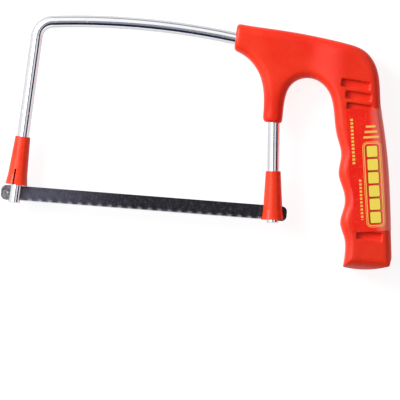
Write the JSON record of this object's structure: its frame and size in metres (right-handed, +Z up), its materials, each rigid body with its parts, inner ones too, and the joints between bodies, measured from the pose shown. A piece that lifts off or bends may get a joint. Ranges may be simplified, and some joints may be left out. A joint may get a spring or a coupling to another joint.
{
  "type": "hacksaw",
  "caption": "Small hacksaw: bent chromed rod frame, moulded finger-grip handle, fine-toothed blade held in slotted legs by two sliding tapered sleeves.",
  "frame": {"origin": "on the surface the saw lies on, under the middle of its bounding box", "axes": "+X along the blade from the front leg to the handle, +Y from the blade to the bow of the frame, +Z up, out of the saw's plane"},
  "size_m": [0.2088, 0.1248, 0.0212],
  "materials": {
    "chromed_rod": "bright chrome plate",
    "handle_plastic": "glossy red moulded plastic",
    "label_film": "glossy printed film, red with gold bars",
    "sleeve_plastic": "glossy red moulded plastic",
    "blade_steel": "blue-black lacquered steel",
    "pin_steel": "bare steel"
  },
  "bodies": {
    "frame": {"frame_rod": "chromed_rod", "handle": "handle_plastic", "label": "label_film"},
    "front_lock": {"front_sleeve": "sleeve_plastic"},
    "rear_lock": {"rear_sleeve": "sleeve_plastic"},
    "blade_set": {"blade": "blade_steel", "front_blade_pin": "pin_steel", "rear_blade_pin": "pin_steel"}
  },
  "joints": [
    {"name": "front_sleeve_slide", "type": "slide", "parent": "frame", "child": "front_lock", "axis": [0.0593, 0.9982, 0], "range_m": [0, 0.05]},
    {"name": "rear_sleeve_slide", "type": "slide", "parent": "frame", "child": "rear_lock", "axis": [-0.0645, 0.9979, 0], "range_m": [0, 0.024]},
    {"name": "blade_lift_out", "type": "slide", "parent": "frame", "child": "blade_set", "axis": [0, -1, 0], "range_m": [0, 0.014]}
  ]
}
